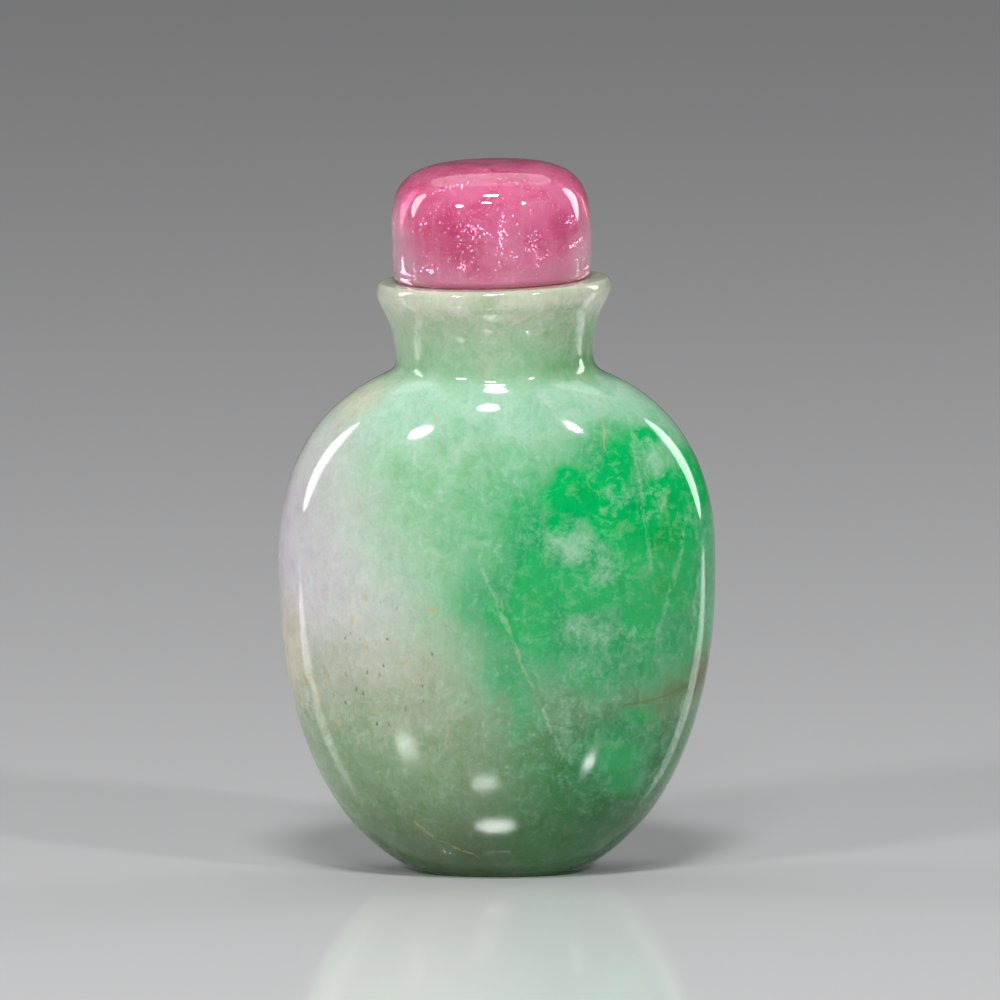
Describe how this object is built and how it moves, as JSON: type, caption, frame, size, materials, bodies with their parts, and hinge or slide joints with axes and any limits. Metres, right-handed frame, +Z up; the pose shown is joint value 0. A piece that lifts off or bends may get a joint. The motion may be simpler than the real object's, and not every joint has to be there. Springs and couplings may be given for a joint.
{
  "type": "snuff bottle",
  "caption": "Flattened ovoid jadeite snuff bottle with a waisted neck, everted lip and a removable round cabochon stopper of pink tourmaline.",
  "frame": {"origin": "on the ground under the middle of the oval foot", "axes": "+Z up along the bottle's height, +X to the right of the broad front face, -Y out of that face"},
  "size_m": [0.0442, 0.0274, 0.0722],
  "materials": {
    "jadeite": "polished, mottled lavender, white, apple and emerald green",
    "tourmaline": "polished, translucent pink with veils and flecks"
  },
  "bodies": {
    "root": {"bottle": "jadeite", "stopper": "tourmaline"}
  },
  "joints": []
}
